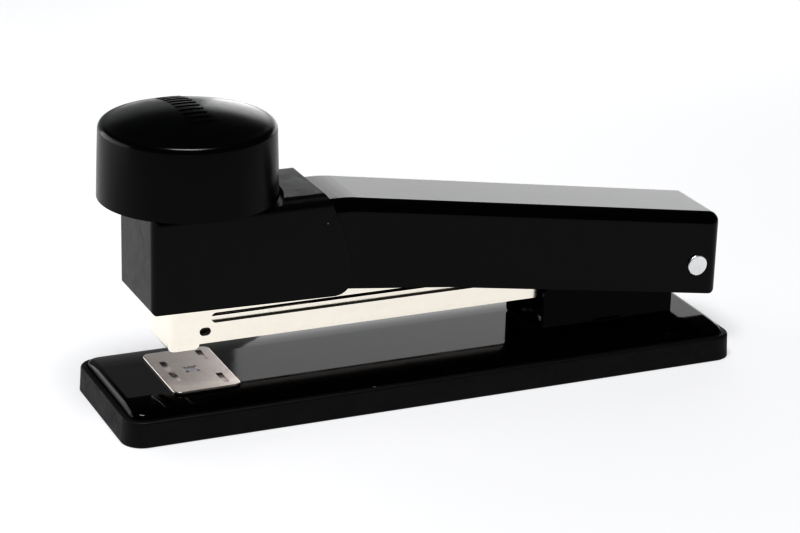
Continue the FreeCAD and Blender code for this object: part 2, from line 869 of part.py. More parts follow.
def knob_side_and_dome(inset):
    """Half of the knob's outline, from its open bottom to the middle of the dome."""
    rim_z = knob_bottom + knob_side - inset
    side_top = knob_radius - knob_flare - inset
    dome_edge = knob_radius - knob_flare - knob_edge
    rise = knob_top - inset - rim_z
    ball = (dome_edge**2 + rise**2) / (2 * rise)
    half_way = dome_edge / 2
    edge = knob_edge - inset / 2
    bend = edge * (1 - math.sqrt(0.5))
    return [
        Vector(knob_radius - inset, 0, knob_bottom),
        Vector(side_top, 0, rim_z - edge),
        Vector(side_top - bend, 0, rim_z - bend),
        Vector(side_top - edge, 0, rim_z),
        Vector(half_way, 0, knob_top - inset - ball + math.sqrt(ball**2 - half_way**2)),
        Vector(0, 0, knob_top - inset),
    ]


def knob_cap():
    """A turned shell: nearly straight sides, a rounded rim and a low dome."""
    edges = []
    for inset in (0, knob_wall):
        low, side, corner, rim, dome, middle = knob_side_and_dome(inset)
        edges.append(Part.LineSegment(low, side).toShape())
        edges.append(Part.Arc(side, corner, rim).toShape())
        edges.append(Part.Arc(rim, dome, middle).toShape())
    outer, inner = knob_side_and_dome(0), knob_side_and_dome(knob_wall)
    edges.append(Part.LineSegment(outer[0], inner[0]).toShape())
    edges.append(Part.LineSegment(outer[-1], inner[-1]).toShape())
    profile = Part.Face(Part.Wire(Part.__sortEdges__(edges)))
    knob = profile.revolve(Vector(0, 0, 0), Vector(0, 0, 1), 360)
    knob.translate(Vector(knob_x, 0, 0))
    return knob


def knob_base():
    z0 = knob_bottom + knob_disc_lift
    disc = post(knob_x, 0, z0, z0 + knob_disc_sheet, knob_radius - knob_wall - side_gap)
    boss = post(knob_x, 0, roof_top, z0 + knob_boss_height, knob_boss_radius)
    bore = post(knob_x, 0, roof_top - over, z0 + knob_boss_height + over, screw_radius + press_gap)
    return disc.fuse(boss).cut(bore)


def knob_screw():
    head_top = holder_under
    head = post(knob_x, 0, head_top - screw_head_height, head_top, screw_head_radius)
    rim = edges_where(head, lambda p, e: e.BoundBox.ZMax < head_top - screw_head_height + 0.01)
    head = head.makeFillet(screw_head_edge, rim)
    half_slot = screw_slot / 2
    low = head_top - screw_head_height
    reach = screw_head_radius + over
    slot = block(knob_x - reach, knob_x + reach, half_slot, low - over, low + screw_slot_depth)
    shank_top = knob_bottom + knob_boss_height - screw_end
    return head.cut(slot).fuse(post(knob_x, 0, head_top, shank_top, screw_radius))


def driver_holder():
    """A bent steel angle under the tongue; its hanging leaf backs the blade."""
    half = holder_width / 2
    flange = block(blade_back, blade_back + holder_length, half, holder_under, tongue_under)
    leaf = block(blade_back, blade_back + holder_sheet, half, tongue_under - holder_drop, tongue_under)
    holder = flange.fuse(leaf).removeSplitter()
    near = 0.01
    bend = edges_where(holder, lambda p, e: max(abs(p.x - blade_back), abs(p.z - tongue_under)) < near)
    holder = holder.makeFillet(holder_bend, bend)
    holder = holder.cut(post(knob_x, 0, holder_under - over, tongue_under + over, screw_radius + part_gap))
    z = tongue_under - driver_rivet_drop
    back = blade_back + holder_sheet + over
    for y in (-driver_rivet_y, driver_rivet_y):
        holder = holder.cut(bar_along_x(blade_back - over, back, y, z, rivet_radius))
    return holder


def driver_blade():
    top = tongue_under - blade_top_gap
    blade = block(blade_front, blade_back, blade_width / 2, blade_tip, top)
    z = tongue_under - driver_rivet_drop
    for y in (-driver_rivet_y, driver_rivet_y):
        blade = blade.cut(bar_along_x(blade_front - over, blade_back + over, y, z, rivet_radius))
    return blade


def driver_rivets():
    z = tongue_under - driver_rivet_drop
    x0 = blade_front
    x1 = blade_back + holder_sheet
    rivets = []
    for y in (-driver_rivet_y, driver_rivet_y):
        shank = bar_along_x(x0, x1, y, z, rivet_radius)
        for x, way in ((x0, -1), (x1, 1)):
            at = Vector(x, y, z)
            out = Vector(way, 0, 0)
            head = Part.makeCone(driver_rivet_head, driver_rivet_flat, driver_rivet_head_height, at, out)
            shank = shank.fuse(head)
        rivets.append(shank)
    return rivets


def pin_head(side):
    """A low riveted head on the arm's outer face; side is -1 or 1."""
    y = side * arm_width / 2
    head = bar_along_y(pin_x, 0, pin_head_height, 0, pin_head_radius)
    rim = edges_where(head, lambda p, e: e.BoundBox.YMin > pin_head_height - 0.01)
    head = head.makeFillet(pin_head_edge, rim)
    if side < 0:
        head = head.mirror(Vector(0, 0, 0), Vector(0, 1, 0))
    head.translate(Vector(0, y, pin_height))
    return head


def hinge_pin():
    half = arm_width / 2
    return bar_along_y(pin_x, -half, half, pin_height, pin_radius).fuse(pin_head(-1)).removeSplitter()


def pin_retainer():
    return pin_head(1)


def write(name, shape):
    """Writes one node; a list of solids becomes a group."""
    if isinstance(shape, list):
        shape = Part.makeCompound(shape)
    shape.exportStep("parts/" + name + ".step")
    state = "valid" if shape.isValid() else "INVALID"
    print(name, len(shape.Solids), "solid", round(shape.Volume, 1), "mm3", state)


nodes = {
    "base_skirt": base_skirt,
    "base_plate": base_plate,
    "hinge_bracket": hinge_bracket,
    "bracket_rivets": bracket_rivets,
    "spring_seat": spring_seat,
    "magazine_spring": magazine_spring,
    "hinge_spacers": hinge_spacers,
    "anvil_plate": anvil_plate,
    "anvil_post": anvil_post,
    "anvil_button": anvil_button,
    "anvil_washer": anvil_washer,
    "anvil_spring": anvil_spring,
    "magazine_channel": magazine_channel,
    "magazine_nose": magazine_nose,
    "staple_channel": staple_channel,
    "staple_rail": staple_rail,
    "magazine_rivets": magazine_rivets,
    "guide_rod": guide_rod,
    "pusher_spring": pusher_spring,
    "staple_strip": staple_strip,
    "pusher": pusher,
    "magazine_bridge": magazine_bridge,
    "cover_spring": cover_spring,
    "arm_cover": arm_cover,
    "head_cap": head_cap,
    "knob_cap": knob_cap,
    "knob_base": knob_base,
    "knob_screw": knob_screw,
    "driver_holder": driver_holder,
    "driver_blade": driver_blade,
    "driver_rivets": driver_rivets,
    "hinge_pin": hinge_pin,
    "pin_retainer": pin_retainer,
}

os.makedirs("parts", exist_ok=True)
for name, make in nodes.items():
    write(name, make())
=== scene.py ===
import math

import bpy
from mathutils import Matrix, Vector


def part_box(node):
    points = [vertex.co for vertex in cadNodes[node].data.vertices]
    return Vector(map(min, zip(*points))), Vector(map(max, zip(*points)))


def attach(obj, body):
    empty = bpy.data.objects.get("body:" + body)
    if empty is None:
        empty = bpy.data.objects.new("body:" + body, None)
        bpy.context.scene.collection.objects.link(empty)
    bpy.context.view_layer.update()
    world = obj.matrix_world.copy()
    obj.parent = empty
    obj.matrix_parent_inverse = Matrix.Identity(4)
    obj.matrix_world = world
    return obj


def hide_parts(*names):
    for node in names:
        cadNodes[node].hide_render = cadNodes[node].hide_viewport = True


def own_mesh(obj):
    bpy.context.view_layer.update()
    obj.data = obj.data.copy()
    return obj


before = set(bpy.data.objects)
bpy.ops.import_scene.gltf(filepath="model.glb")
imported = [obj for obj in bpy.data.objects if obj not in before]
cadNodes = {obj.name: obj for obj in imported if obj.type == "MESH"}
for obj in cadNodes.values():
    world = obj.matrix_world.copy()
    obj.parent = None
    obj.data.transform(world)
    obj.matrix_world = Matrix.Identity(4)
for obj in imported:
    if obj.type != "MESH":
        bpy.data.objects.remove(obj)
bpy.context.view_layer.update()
mm = 0.001
print("frame loaded:", len(cadNodes), "nodes")


# camera, at the eye's place in front of the nose and above
cameraUser = {
    "lensMillimetres": 114.73,  # on a 36 mm wide sensor
    "sensorMillimetres": 36.0,
    "place": (-0.30344, -0.65880, 0.30758),
    "downDegrees": 20.6629,
    "turnDegrees": 24.3823,  # from +Y towards +X
    "rollDegrees": 1.6462,
    "nearest": 0.01,
    "farthest": 50,
}


def addCamera(user):
    down = math.radians(user["downDegrees"])
    turn = math.radians(user["turnDegrees"])
    roll = math.radians(user["rollDegrees"])
    level = math.cos(down)
    ahead = Vector((math.sin(turn) * level, math.cos(turn) * level, -math.sin(down)))
    side = Vector((math.cos(turn), -math.sin(turn), 0))
    up = side.cross(ahead)
    right = side * math.cos(roll) + up * math.sin(roll)
    over = up * math.cos(roll) - side * math.sin(roll)
    lens = bpy.data.cameras.new("viewCamera")
    lens.sensor_width = user["sensorMillimetres"]
    lens.lens = user["lensMillimetres"]
    lens.clip_start = user["nearest"]
    lens.clip_end = user["farthest"]
    camera = bpy.data.objects.new("viewCamera", lens)
    camera.matrix_world = Matrix((
        (right.x, over.x, -ahead.x, user["place"][0]),
        (right.y, over.y, -ahead.y, user["place"][1]),
        (right.z, over.z, -ahead.z, user["place"][2]),
        (0, 0, 0, 1),
    ))
    bpy.context.collection.objects.link(camera)
    bpy.context.scene.camera = camera


addCamera(cameraUser)
print("camera placed")


# small helpers for node trees
def addNode(tree, kind, inputs=None, **settings):
    made = tree.nodes.new(kind)
    for key, value in settings.items():
        setattr(made, key, value)
    for key, value in (inputs or {}).items():
        made.inputs[key].default_value = value
    return made


def join(tree, *pairs):
    for source, target in pairs:
        tree.links.new(source, target)


def mathNode(tree, operation, first, second=None, clamp=False):
    made = addNode(tree, "ShaderNodeMath", operation=operation, use_clamp=clamp)
    for socket, value in zip(made.inputs, (first, second)):
        if isinstance(value, (int, float)):
            socket.default_value = value
        elif value is not None:
            tree.links.new(value, socket)
    return made.outputs[0]


socketKinds = {tuple: "NodeSocketVector", int: "NodeSocketInt", float: "NodeSocketFloat"}


def newGroup(name, inputs, outputs):
    tree = bpy.data.node_groups.new(name, "ShaderNodeTree")
    for label, value in inputs.items():
        socket = tree.interface.new_socket(label, in_out="INPUT",
                                           socket_type=socketKinds[type(value)])
        socket.default_value = value
    for label in outputs:
        tree.interface.new_socket(label, in_out="OUTPUT", socket_type="NodeSocketFloat")
    return tree, addNode(tree, "NodeGroupInput"), addNode(tree, "NodeGroupOutput")


def stretchedPlace(tree, scale):
    # object coordinates times a scale of its own for each axis
    place = addNode(tree, "ShaderNodeTexCoord")
    spread = addNode(tree, "ShaderNodeVectorMath", operation="MULTIPLY")
    join(tree, (place.outputs["Object"], spread.inputs[0]), (scale, spread.inputs[1]))
    return spread.outputs["Vector"]


# fine grain of a moulded or painted surface, as a height from 0 to 1
def buildGrainGroup():
    tree, given, result = newGroup("fineGrain",
                                   {"Per Metre": (1500.0, 1500.0, 1500.0), "Roughness": 0.6},
                                   ["Height"])
    where = stretchedPlace(tree, given.outputs["Per Metre"])
    noise = addNode(tree, "ShaderNodeTexNoise", {"Scale": 1.0, "Detail": 4.0})
    join(tree, (where, noise.inputs["Vector"]),
         (given.outputs["Roughness"], noise.inputs["Roughness"]))
    join(tree, (noise.outputs["Fac"], result.inputs["Height"]))
    return tree


# uneven gloss from handling: cloudy patches and a few wiped streaks
def buildHandlingGroup():
    tree, given, result = newGroup("handlingMarks",
                                   {"Per Metre": (35.0, 60.0, 60.0), "Least": 0.1, "Most": 0.3},
                                   ["Roughness"])
    where = stretchedPlace(tree, given.outputs["Per Metre"])
    cloud = addNode(tree, "ShaderNodeTexNoise",
                    {"Scale": 1.0, "Detail": 5.0, "Roughness": 0.6, "Distortion": 0.4})
    streak = addNode(tree, "ShaderNodeTexNoise",
                     {"Scale": 5.0, "Detail": 2.0, "Roughness": 0.5, "Distortion": 1.5})
    join(tree, (where, cloud.inputs["Vector"]), (where, streak.inputs["Vector"]))
    mixed = mathNode(tree, "MULTIPLY", cloud.outputs["Fac"], streak.outputs["Fac"])
    spread = addNode(tree, "ShaderNodeMapRange", {"From Min": 0.12, "From Max": 0.42})
    join(tree, (mixed, spread.inputs["Value"]), (given.outputs["Least"], spread.inputs["To Min"]),
         (given.outputs["Most"], spread.inputs["To Max"]),
         (spread.outputs["Result"], result.inputs["Roughness"]))
    return tree


# single dust specks, and a faint film in clouds
def buildDustGroup():
    tree, given, result = newGroup("settledDust",
                                   {"Per Metre": (220.0, 220.0, 220.0), "Share": 0.12,
                                    "Speck": 0.09, "Film": 0.1}, ["Mask"])
    where = stretchedPlace(tree, given.outputs["Per Metre"])
    cells = addNode(tree, "ShaderNodeTexVoronoi", {"Scale": 1.0})
    join(tree, (where, cells.inputs["Vector"]))
    colour = addNode(tree, "ShaderNodeSeparateColor")
    join(tree, (cells.outputs["Color"], colour.inputs["Color"]))
    chosen = mathNode(tree, "LESS_THAN", colour.outputs["Red"], given.outputs["Share"])
    size = mathNode(tree, "MULTIPLY", colour.outputs["Green"], given.outputs["Speck"])
    inside = mathNode(tree, "LESS_THAN", cells.outputs["Distance"], size)
    specks = mathNode(tree, "MULTIPLY", chosen, inside)
    cloud = addNode(tree, "ShaderNodeTexNoise", {"Scale": 0.35, "Detail": 4.0, "Roughness": 0.65})
    join(tree, (where, cloud.inputs["Vector"]))
    film = mathNode(tree, "MULTIPLY", cloud.outputs["Fac"], given.outputs["Film"])
    join(tree, (mathNode(tree, "MAXIMUM", specks, film, clamp=True), result.inputs["Mask"]))
    return tree


rubContrast = 4.0  # how sharply a rubbed patch ends


# rubbed places: noise that is strongest near one height of the piece
def buildRubGroup():
    tree, given, result = newGroup("rubbedEdge",
                                   {"Height": 0.0, "Reach": 0.001, "Per Metre": 400.0,
                                    "Share": 0.5}, ["Mask"])
    place = addNode(tree, "ShaderNodeTexCoord")
    parts = addNode(tree, "ShaderNodeSeparateXYZ")
    join(tree, (place.outputs["Object"], parts.inputs["Vector"]))
    offset = mathNode(tree, "SUBTRACT", parts.outputs["Z"], given.outputs["Height"])
    away = mathNode(tree, "ABSOLUTE", offset)
    near = mathNode(tree, "SUBTRACT", 1.0, mathNode(tree, "DIVIDE", away, given.outputs["Reach"]),
                    clamp=True)
    noise = addNode(tree, "ShaderNodeTexNoise", {"Detail": 5.0, "Roughness": 0.7})
    join(tree, (place.outputs["Object"], noise.inputs["Vector"]),
         (given.outputs["Per Metre"], noise.inputs["Scale"]))
    patches = mathNode(tree, "ADD", noise.outputs["Fac"], given.outputs["Share"])
    broken = mathNode(tree, "SUBTRACT", patches, 1.0, clamp=True)
    strong = mathNode(tree, "MULTIPLY", mathNode(tree, "MULTIPLY", broken, near), rubContrast,
                      clamp=True)
    join(tree, (strong, result.inputs["Mask"]))
    return tree


brushShares = {"slow": 0.6, "fine": 0.4}  # broad bands and single lines in the tone


# drawn or brushed lines along one axis: a height and a tone
def buildBrushGroup():
    tree, given, result = newGroup("brushedLines",
                                   {"Per Metre": (60.0, 4000.0, 4000.0), "Depth": 0.5},
                                   ["Height", "Tone"])
    where = stretchedPlace(tree, given.outputs["Per Metre"])
    noise = addNode(tree, "ShaderNodeTexNoise", {"Scale": 1.0, "Detail": 3.0, "Roughness": 0.55})
    slow = addNode(tree, "ShaderNodeTexNoise", {"Scale": 0.12, "Detail": 3.0, "Roughness": 0.5})
    join(tree, (where, noise.inputs["Vector"]), (where, slow.inputs["Vector"]))
    lines = mathNode(tree, "MULTIPLY", noise.outputs["Fac"], given.outputs["Depth"])
    tone = addNode(tree, "ShaderNodeMapRange", {"From Min": 0.3, "From Max": 0.7, "To Min": 0.0,
                                                "To Max": 1.0})
    slowTone = mathNode(tree, "MULTIPLY", slow.outputs["Fac"], brushShares["slow"])
    fineTone = mathNode(tree, "MULTIPLY", noise.outputs["Fac"], brushShares["fine"])
    join(tree, (mathNode(tree, "ADD", slowTone, fineTone), tone.inputs["Value"]))
    join(tree, (lines, result.inputs["Height"]), (tone.outputs["Result"], result.inputs["Tone"]))
    return tree


grainGroup = buildGrainGroup()
handlingGroup = buildHandlingGroup()
dustGroup = buildDustGroup()
rubGroup = buildRubGroup()
brushGroup = buildBrushGroup()
print("shared surface groups built")


def placeGroup(tree, group, inputs):
    made = addNode(tree, "ShaderNodeGroup", node_tree=group)
    for key, value in inputs.items():
        made.inputs[key].default_value = value
    return made


def newMaterial(name, constants):
    material = bpy.data.materials.new(name)
    material.use_nodes = True
    tree = material.node_tree
    shader = tree.nodes["Principled BSDF"]
    for key, value in constants.items():
        shader.inputs[key].default_value = value
    return material, tree, shader


def mixColours(tree, mask, first, second):
    mixed = addNode(tree, "ShaderNodeMix", data_type="RGBA")
    for socket, value in ((mixed.inputs[6], first), (mixed.inputs[7], second)):
        if isinstance(value, tuple):
            socket.default_value = (*value, 1)
        else:
            tree.links.new(value, socket)
    tree.links.new(mask, mixed.inputs[0])
    return mixed.outputs[2]


dustDulling = 0.5  # how much rougher a surface is under full dust


# black finishes: rubber, enamel and moulded plastic share one build
def blackFinish(name, user):
    material, tree, shader = newMaterial(name, {"Specular IOR Level": user["specular"]})
    dust = placeGroup(tree, dustGroup, {"Share": user["dustShare"], "Speck": user["dustSize"],
                                        "Film": user["dustFilm"],
                                        "Per Metre": (user["dustPerMetre"],) * 3})
    rub = placeGroup(tree, rubGroup, {"Height": user["rubHeight"], "Reach": user["rubReach"],
                                      "Share": user["rubShare"]})
    worn = mixColours(tree, rub.outputs["Mask"], user["colour"], user["wornColour"])
    dusty = mixColours(tree, dust.outputs["Mask"], worn, user["dustColour"])
    handling = placeGroup(tree, handlingGroup, {"Least": user["glossLeast"],
                                                "Most": user["glossMost"],
                                                "Per Metre": user["glossPerMetre"]})
    rougher = mathNode(tree, "ADD", handling.outputs["Roughness"],
                       mathNode(tree, "MULTIPLY", dust.outputs["Mask"], dustDulling), clamp=True)
    grain = placeGroup(tree, grainGroup, {"Per Metre": (user["grainPerMetre"],) * 3})
    bump = addNode(tree, "ShaderNodeBump", {"Strength": user["grainStrength"],
                                            "Distance": user["grainDepth"]})
    join(tree, (dusty, shader.inputs["Base Color"]), (rougher, shader.inputs["Roughness"]),
         (grain.outputs["Height"], bump.inputs["Height"]),
         (bump.outputs["Normal"], shader.inputs["Normal"]))
    return material


skirtUser = {
    "colour": (0.010, 0.010, 0.011), "wornColour": (0.035, 0.034, 0.033),
    "dustColour": (0.16, 0.15, 0.14),
    "specular": 0.4, "glossLeast": 0.42, "glossMost": 0.62, "glossPerMetre": (40.0, 60.0, 60.0),
    "grainPerMetre": 2600.0, "grainStrength": 0.35, "grainDepth": 0.00006,
    "dustPerMetre": 260.0, "dustShare": 0.05, "dustSize": 0.22, "dustFilm": 0.05,
    "rubHeight": 0.0, "rubReach": 0.0016, "rubShare": 0.45,
}
enamelUser = {
    "colour": (0.0025, 0.0025, 0.003), "wornColour": (0.02, 0.02, 0.02),
    "dustColour": (0.35, 0.34, 0.33),
    "specular": 0.22, "glossLeast": 0.04, "glossMost": 0.09, "glossPerMetre": (22.0, 60.0, 60.0),
    "grainPerMetre": 420.0, "grainStrength": 0.10, "grainDepth": 0.00003,
    "dustPerMetre": 150.0, "dustShare": 0.035, "dustSize": 0.11, "dustFilm": 0.004,
    "rubHeight": 0.0101, "rubReach": 0.0006, "rubShare": 0.30,
}
plasticUser = {
    "colour": (0.0045, 0.0047, 0.005), "wornColour": (0.02, 0.02, 0.02),
    "dustColour": (0.30, 0.29, 0.28),
    "specular": 0.42, "glossLeast": 0.27, "glossMost": 0.38, "glossPerMetre": (40.0, 40.0, 40.0),
    "grainPerMetre": 1800.0, "grainStrength": 0.16, "grainDepth": 0.00003,
    "dustPerMetre": 170.0, "dustShare": 0.04, "dustSize": 0.13, "dustFilm": 0.006,
    "rubHeight": 0.0346, "rubReach": 0.0010, "rubShare": 0.30,
}
armUser = dict(enamelUser, specular=0.4, glossLeast=0.07, glossMost=0.16, rubHeight=0.0320,
               rubReach=0.0008)
knobUser = dict(plasticUser, specular=0.30, glossLeast=0.20, glossMost=0.27, rubHeight=0.0880,
                rubReach=0.0012)
skirtRubber = blackFinish("skirtRubber", skirtUser)
plateEnamel = blackFinish("plateEnamel", enamelUser)
armEnamel = blackFinish("armEnamel", armUser)
headPlastic = blackFinish("headPlastic", plasticUser)
knobPlastic = blackFinish("knobPlastic", knobUser)


metalUser = {"dustShare": 0.04, "dustSize": 0.12, "dustPerMetre": 200.0, "glossPerMetre": 90.0,
             "linesDepth": 0.00002}


# bare and plated metals share another build, and the values above
def metalFinish(name, user):
    material, tree, shader = newMaterial(name, {"Metallic": 1.0})
    lines = placeGroup(tree, brushGroup, {"Per Metre": user["linesPerMetre"], "Depth": 1.0})
    toned = mixColours(tree, lines.outputs["Tone"], user["darkColour"], user["colour"])
    dust = placeGroup(tree, dustGroup, {"Share": metalUser["dustShare"],
                                        "Speck": metalUser["dustSize"], "Film": user["film"],
                                        "Per Metre": (metalUser["dustPerMetre"],) * 3})
    dusty = mixColours(tree, dust.outputs["Mask"], toned, user["dustColour"])
    handling = placeGroup(tree, handlingGroup, {"Least": user["glossLeast"],
                                                "Most": user["glossMost"],
                                                "Per Metre": (metalUser["glossPerMetre"],) * 3})
    bump = addNode(tree, "ShaderNodeBump", {"Strength": user["linesStrength"],
                                            "Distance": metalUser["linesDepth"]})
    join(tree, (dusty, shader.inputs["Base Color"]),
         (handling.outputs["Roughness"], shader.inputs["Roughness"]),
         (lines.outputs["Height"], bump.inputs["Height"]),
         (bump.outputs["Normal"], shader.inputs["Normal"]))
    return material


alongBase = (70.0, 4500.0, 4500.0)
everyWay = (1400.0, 1400.0, 1400.0)
anvilNickel = metalFinish("anvilNickel", {
    "colour": (0.66, 0.61, 0.58), "darkColour": (0.60, 0.55, 0.52),
    "dustColour": (0.38, 0.35, 0.33), "film": 0.06,
    "linesPerMetre": (60.0, 2600.0, 2600.0), "linesStrength": 0.15, "glossLeast": 0.20,
    "glossMost": 0.28})
magazineNickel = metalFinish("magazineNickel", {
    "colour": (1.0, 0.96, 0.88), "darkColour": (0.97, 0.92, 0.83), "dustColour": (0.7, 0.66, 0.6),
    "film": 0.02,
    "linesPerMetre": alongBase, "linesStrength": 0.12, "glossLeast": 0.16, "glossMost": 0.26})
zincSteel = metalFinish("zincSteel", {
    "colour": (0.62, 0.62, 0.64), "darkColour": (0.42, 0.42, 0.44), "dustColour": (0.3, 0.29, 0.28),
    "film": 0.06,
    "linesPerMetre": everyWay, "linesStrength": 0.3, "glossLeast": 0.26, "glossMost": 0.42})
springSteel = metalFinish("springSteel", {
    "colour": (0.48, 0.48, 0.50), "darkColour": (0.30, 0.30, 0.31), "dustColour": (0.2, 0.19, 0.18),
    "film": 0.05,
    "linesPerMetre": everyWay, "linesStrength": 0.2, "glossLeast": 0.22, "glossMost": 0.36})
stapleSteel = metalFinish("stapleSteel", {
    "colour": (0.66, 0.66, 0.68), "darkColour": (0.50, 0.50, 0.52), "dustColour": (0.4, 0.39, 0.38),
    "film": 0.04,
    "linesPerMetre": (2500.0, 90.0, 90.0), "linesStrength": 0.25, "glossLeast": 0.24,
    "glossMost": 0.38})
pinSteel = metalFinish("pinSteel", {
    "colour": (0.93, 0.93, 0.93), "darkColour": (0.82, 0.82, 0.82), "dustColour": (0.6, 0.6, 0.6),
    "film": 0.03,
    "linesPerMetre": everyWay, "linesStrength": 0.2, "glossLeast": 0.30, "glossMost": 0.42})
print("materials built")


nodeFinishes = {
    skirtRubber: ["base_skirt"],
    plateEnamel: ["base_plate", "hinge_bracket"],
    armEnamel: ["arm_cover"],
    headPlastic: ["head_cap", "anvil_button"],
    knobPlastic: ["knob_cap", "knob_base"],
    anvilNickel: ["anvil_plate"],
    magazineNickel: ["magazine_channel", "magazine_nose", "staple_channel", "staple_rail",
                     "magazine_bridge"],
    zincSteel: ["bracket_rivets", "spring_seat", "hinge_spacers", "anvil_post", "anvil_washer",
                "magazine_rivets",
                "guide_rod", "pusher", "knob_screw", "driver_holder", "driver_rivets"],
    springSteel: ["driver_blade"],
    pinSteel: ["hinge_pin", "pin_retainer"],
}
for finish, names in nodeFinishes.items():
    for name in names:
        for part in cadNodes[name].material_slots:
            part.material = finish
print("finishes given to the frame's pieces")


# turns a node-made piece into a plain mesh in place, with nothing live left on it
def makePlain(piece):
    bpy.context.view_layer.update()
    seen = piece.evaluated_get(bpy.context.evaluated_depsgraph_get())
    plain = bpy.data.meshes.new_from_object(seen)
    piece.modifiers.clear()
    piece.data = plain
    plain.name = piece.name


def finishPiece(piece, body, replaced=()):
    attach(piece, body)
    if replaced:
        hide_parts(*replaced)


def nodeMadePiece(name, tree, values, start=None):
    piece = bpy.data.objects.new(name, start or bpy.data.meshes.new(name))
    bpy.context.collection.objects.link(piece)
    modifier = piece.modifiers.new("shape", "NODES")
    modifier.node_group = tree
    sockets = {s.name: s.identifier for s in tree.interface.items_tree if s.in_out == "INPUT"}
    for label, value in values.items():
        modifier[sockets[label]] = value
    makePlain(piece)
    return piece


def geometryTree(name, inputs):
    tree = bpy.data.node_groups.new(name, "GeometryNodeTree")
    tree.interface.new_socket("Geometry", in_out="INPUT", socket_type="NodeSocketGeometry")
    for label, value in inputs.items():
        socket = tree.interface.new_socket(label, in_out="INPUT",
                                           socket_type=socketKinds[type(value)])
        socket.default_value = value
    tree.interface.new_socket("Finish", in_out="INPUT", socket_type="NodeSocketMaterial")
    tree.interface.new_socket("Geometry", in_out="OUTPUT", socket_type="NodeSocketGeometry")
    return tree, addNode(tree, "NodeGroupInput"), addNode(tree, "NodeGroupOutput")


def endTree(tree, given, result, shape):
    real = addNode(tree, "GeometryNodeRealizeInstances")
    finish = addNode(tree, "GeometryNodeSetMaterial")
    join(tree, (shape, real.inputs[0]), (real.outputs[0], finish.inputs["Geometry"]),
         (given.outputs["Finish"], finish.inputs["Material"]),
         (finish.outputs[0], result.inputs[0]))


# a wire coil with closed end turns, standing on its start point
def buildCoilTree():
    tree, given, result = geometryTree("coilSpring", {
        "Radius": 0.004, "Wire": 0.0008, "Length": 0.01, "Turns": 6.0, "Closed Turns": 1.0,
        "Steps": 20, "Sides": 8,
        "Place": (0.0, 0.0, 0.0), "Tilt": (0.0, 0.0, 0.0)})
    spiral = addNode(tree, "GeometryNodeCurveSpiral", {"Height": 0.0})
    centre = mathNode(tree, "SUBTRACT", given.outputs["Radius"],
                      mathNode(tree, "MULTIPLY", given.outputs["Wire"], 0.5))
    join(tree, (given.outputs["Steps"], spiral.inputs["Resolution"]),
         (given.outputs["Turns"], spiral.inputs["Rotations"]),
         (centre, spiral.inputs["Start Radius"]), (centre, spiral.inputs["End Radius"]))
    along = addNode(tree, "GeometryNodeSplineParameter")
    turn = mathNode(tree, "MULTIPLY", along.outputs["Factor"], given.outputs["Turns"])
    openTurns = mathNode(tree, "SUBTRACT", given.outputs["Turns"],
                         mathNode(tree, "MULTIPLY", given.outputs["Closed Turns"], 2.0))
    past = mathNode(tree, "SUBTRACT", turn, given.outputs["Closed Turns"])
    opening = mathNode(tree, "DIVIDE", past, openTurns, clamp=True)
    closedHeight = mathNode(tree, "MULTIPLY", given.outputs["Wire"],
                            mathNode(tree, "ADD", given.outputs["Turns"], 1.0))
    spare = mathNode(tree, "SUBTRACT", given.outputs["Length"], closedHeight)
    wound = mathNode(tree, "MULTIPLY", given.outputs["Wire"], mathNode(tree, "ADD", turn, 0.5))
    rise = mathNode(tree, "ADD", wound, mathNode(tree, "MULTIPLY", opening, spare))
    lift = addNode(tree, "ShaderNodeCombineXYZ")
    raised = addNode(tree, "GeometryNodeSetPosition")
    join(tree, (rise, lift.inputs["Z"]), (spiral.outputs[0], raised.inputs["Geometry"]),
         (lift.outputs[0], raised.inputs["Offset"]))
    section = addNode(tree, "GeometryNodeCurvePrimitiveCircle")
    join(tree, (given.outputs["Sides"], section.inputs["Resolution"]),
         (mathNode(tree, "MULTIPLY", given.outputs["Wire"], 0.5), section.inputs["Radius"]))
    swept = addNode(tree, "GeometryNodeCurveToMesh", {"Fill Caps": True})
    join(tree, (raised.outputs[0], swept.inputs["Curve"]),
         (section.outputs[0], swept.inputs["Profile Curve"]))
    smooth = addNode(tree, "GeometryNodeSetShadeSmooth")
    moved = addNode(tree, "GeometryNodeTransform")
    join(tree, (swept.outputs[0], smooth.inputs[0]), (smooth.outputs[0], moved.inputs["Geometry"]),
         (given.outputs["Place"], moved.inputs["Translation"]),
         (given.outputs["Tilt"], moved.inputs["Rotation"]))
    endTree(tree, given, result, moved.outputs[0])
    return tree


coilTree = buildCoilTree()
standingSteps = 24  # points in each turn of a standing coil


def standingCoil(name, node, body, user):
    low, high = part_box(node)
    piece = nodeMadePiece(name, coilTree, {
        "Radius": (high.x - low.x) / 2, "Wire": user["wire"],
        "Length": high.z - low.z - user.get("shorter", 0.0),
        "Turns": user["turns"], "Closed Turns": user["closedTurns"], "Steps": standingSteps,
        "Place": ((low.x + high.x) / 2, 0.0, low.z), "Finish": springSteel})
    finishPiece(piece, body, [node])
    return piece, low, high


